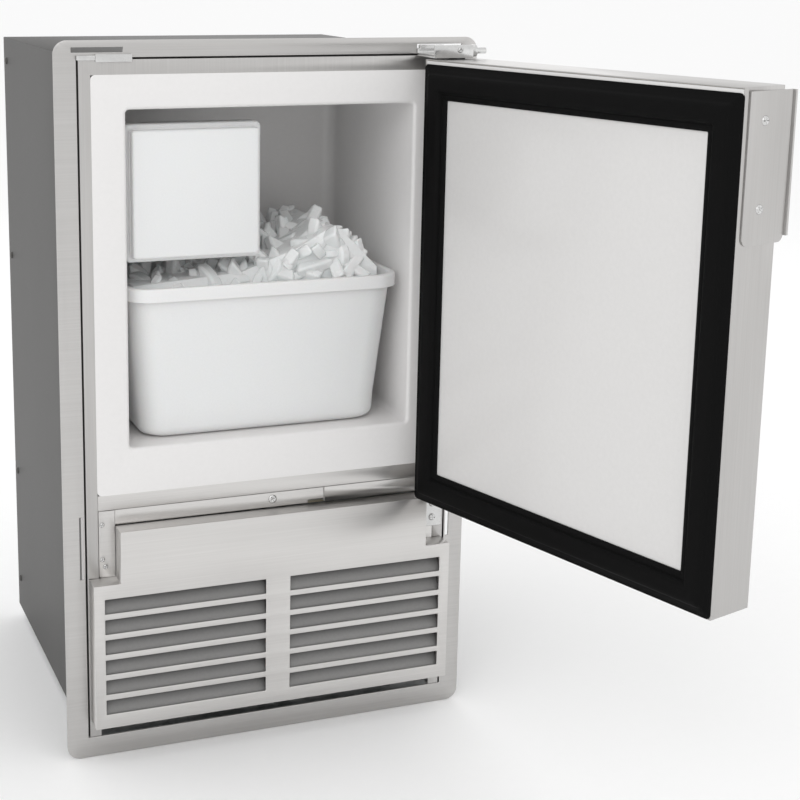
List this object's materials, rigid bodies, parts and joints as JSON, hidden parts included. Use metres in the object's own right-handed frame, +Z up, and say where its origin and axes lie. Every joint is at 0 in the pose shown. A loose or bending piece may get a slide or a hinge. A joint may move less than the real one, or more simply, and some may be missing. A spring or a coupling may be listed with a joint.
{
  "type": "built-in ice maker",
  "caption": "Built-in ice maker: steel-framed insulated cabinet with mounting flange, hinged door, sliding ice bin, ice head, lower grille and sealed refrigeration gear.",
  "frame": {"origin": "centre of the cabinet's underside, where it stands in its cut-out", "axes": "+Z up, -Y out of the front, +X to the hinge side"},
  "size_m": [0.4854, 0.7404, 0.657],
  "materials": {
    "aluminium": "mill finish",
    "black_enamel": "gloss enamel",
    "black_gasket": "soft satin vinyl",
    "black_plastic": "matte",
    "brass": "turned",
    "bright_steel": "bright plated",
    "brushed_steel": "brushed, satin",
    "clear_tube": "milky",
    "copper": "drawn copper tube",
    "dark_painted_steel": "satin dark grey paint",
    "dark_screws": "dark paint",
    "foam": "expanded, matte",
    "galvanised_steel": "spangled zinc",
    "grey_louvre": "satin grey paint",
    "grey_plastic": "matte",
    "ice": "frosted, clear in places",
    "rubber": "matte",
    "white_liner": "satin, vacuum formed",
    "white_panel": "satin, lightly reflective",
    "white_plastic": "fine satin moulding"
  },
  "bodies": {
    "cabinet": {"base_pan": "galvanised_steel", "blanking_clip": "bright_steel", "cabinet_wrapper": "dark_painted_steel", "cavity_liner": "white_liner", "compressor": "black_enamel", "compressor_bracket": "galvanised_steel", "compressor_mounts": "rubber", "condenser_coil": "copper", "condenser_fins": "aluminium", "control_box": "galvanised_steel", "corner_plates": "brushed_steel", "cross_rail": "brushed_steel", "discharge_line": "copper", "drive_housing": "white_plastic", "drive_motor": "grey_plastic", "ejector_bearing": "grey_plastic", "evaporator_coil": "copper", "evaporator_plate": "aluminium", "face_frame": "brushed_steel", "fan_bracket": "galvanised_steel", "fan_motor": "black_enamel", "fan_shroud": "black_plastic", "fill_cup": "white_plastic", "fill_tube": "clear_tube", "filter_drier": "copper", "foam_insulation": "foam", "front_screws": "bright_steel", "grille_louvres": "grey_louvre", "head_cover": "white_plastic", "hinge_pins": "bright_steel", "hinge_stop": "bright_steel", "ice_stripper": "white_plastic", "inlet_stub": "brass", "lower_hinge_bracket": "bright_steel", "lower_ledge": "brushed_steel", "machine_deck": "galvanised_steel", "mould_heater": "bright_steel", "mould_tray": "aluminium", "power_inlet": "black_plastic", "rear_panel": "galvanised_steel", "rear_screws": "bright_steel", "suction_line": "copper", "toe_grille": "brushed_steel", "trim_flange": "brushed_steel", "upper_hinge_bracket": "bright_steel", "water_valve": "grey_plastic", "wrapper_screws": "dark_screws"},
    "door": {"door_skin": "brushed_steel", "door_inner_panel": "white_panel", "door_foam": "foam", "door_gasket": "black_gasket", "hinge_bushes": "black_plastic", "handle": "brushed_steel", "handle_screws": "bright_steel"},
    "bin": {"ice_bin": "white_plastic", "ice_heap": "ice"},
    "ejector": {"ejector": "grey_plastic"},
    "bail_arm": {"bail_arm": "bright_steel"},
    "fan": {"fan_blades": "black_plastic", "fan_shaft": "bright_steel"}
  },
  "joints": [
    {"name": "door_hinge", "type": "hinge", "parent": "cabinet", "child": "door", "pos_m": [0.1623, -0.2059, 0.42], "axis": [0, 0, 1], "range_deg": [-106.3, 3.7]},
    {"name": "bin_slide", "type": "slide", "parent": "cabinet", "child": "bin", "axis": [0, -1, 0], "range_m": [0, 0.23]},
    {"name": "ejector_turn", "type": "hinge", "parent": "cabinet", "child": "ejector", "pos_m": [-0.0807, -0.06, 0.5195], "axis": [0, 1, 0], "continuous": true},
    {"name": "bail_arm_lift", "type": "hinge", "parent": "cabinet", "child": "bail_arm", "pos_m": [-0.0337, -0.06, 0.5045], "axis": [0, 1, 0], "range_deg": [-35, 0]},
    {"name": "fan_spin", "type": "hinge", "parent": "cabinet", "child": "fan", "pos_m": [0.078, 0, 0.1], "axis": [0, 1, 0], "continuous": true}
  ]
}
